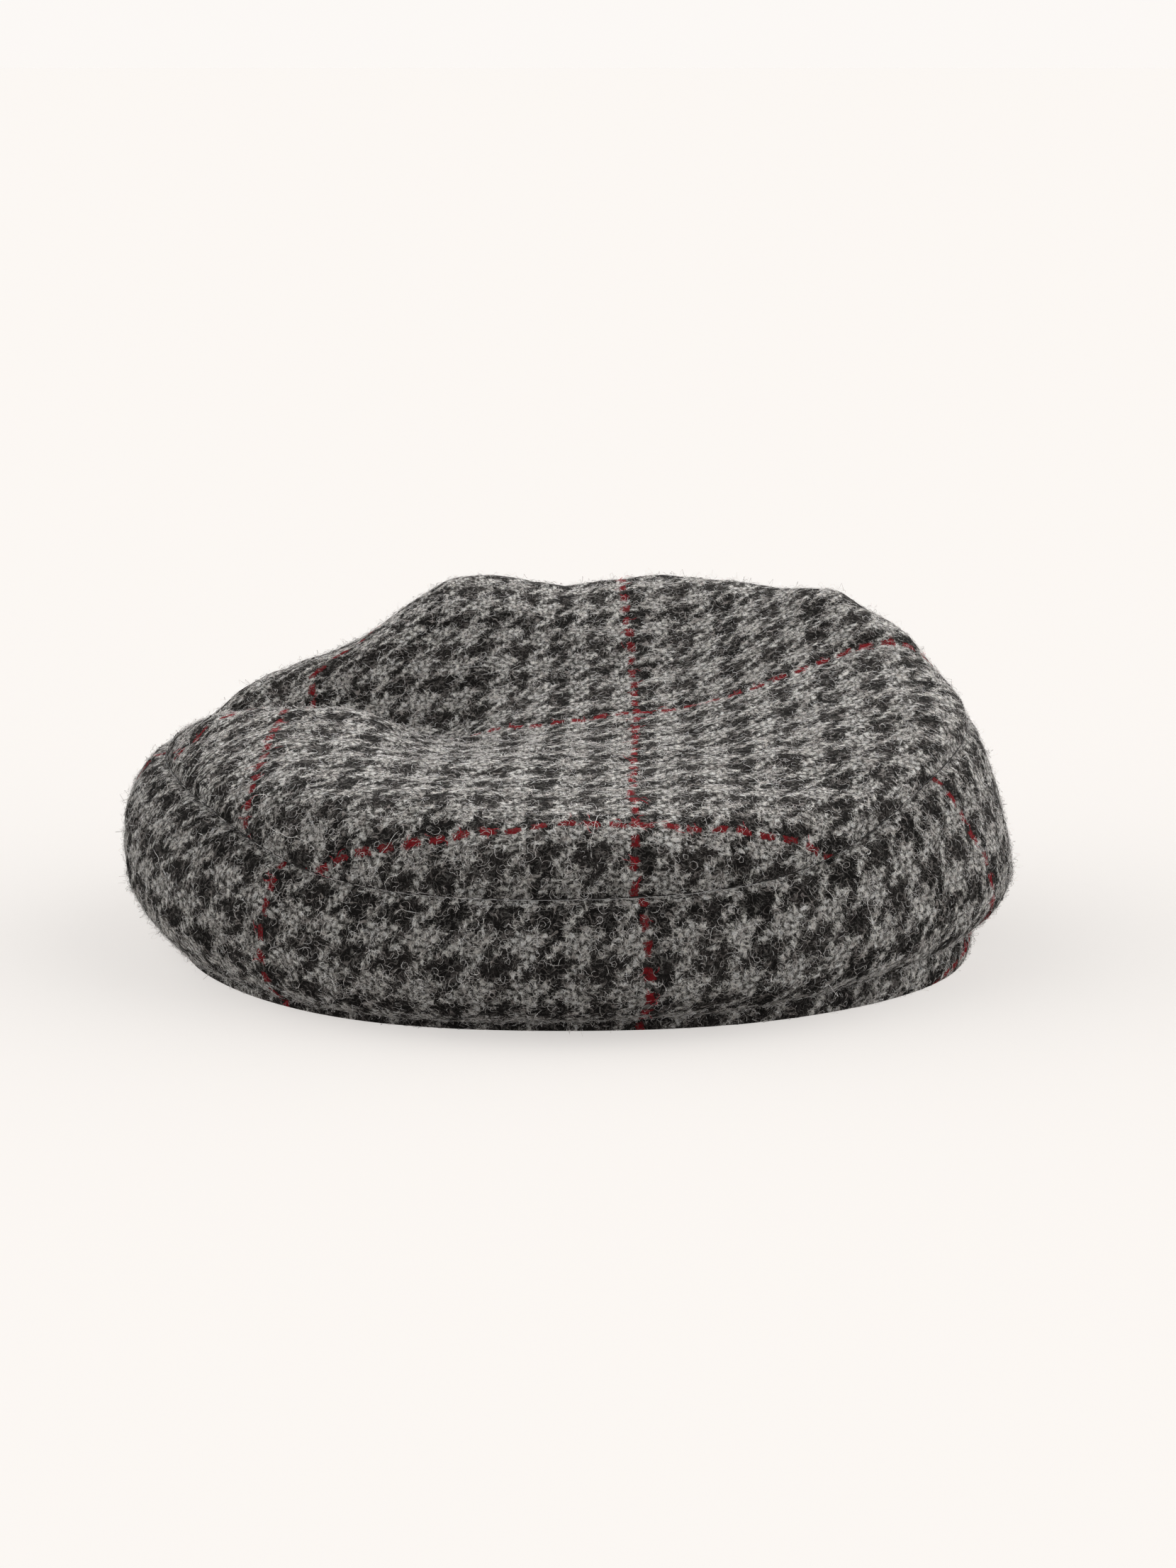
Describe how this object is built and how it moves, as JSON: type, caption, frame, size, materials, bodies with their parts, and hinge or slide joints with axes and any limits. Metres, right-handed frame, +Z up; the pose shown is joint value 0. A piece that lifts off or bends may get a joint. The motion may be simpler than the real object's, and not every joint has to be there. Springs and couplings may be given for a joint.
{
  "type": "tam o shanter",
  "caption": "Round slouchy wool cap in houndstooth tweed with a fine overcheck: a slumped flat top sewn to a bulging side panel, with a headband at the head opening.",
  "frame": {"origin": "on the surface that the hat lies on, below the middle of its width and depth", "axes": "+Z up, +X across the hat's widest part, -Y towards the low front"},
  "size_m": [0.281, 0.26, 0.1011],
  "materials": {
    "top_tweed": "milled, hairy wool in a black, charcoal and light grey houndstooth with a dark red overcheck",
    "side_tweed": "milled, hairy wool in a black, charcoal and light grey houndstooth with a dark red overcheck",
    "band_tweed": "the same wool cloth, flattened and turned at its edges"
  },
  "bodies": {
    "root": {"crown_top": "top_tweed", "side_panel": "side_tweed", "headband": "band_tweed"}
  },
  "joints": []
}
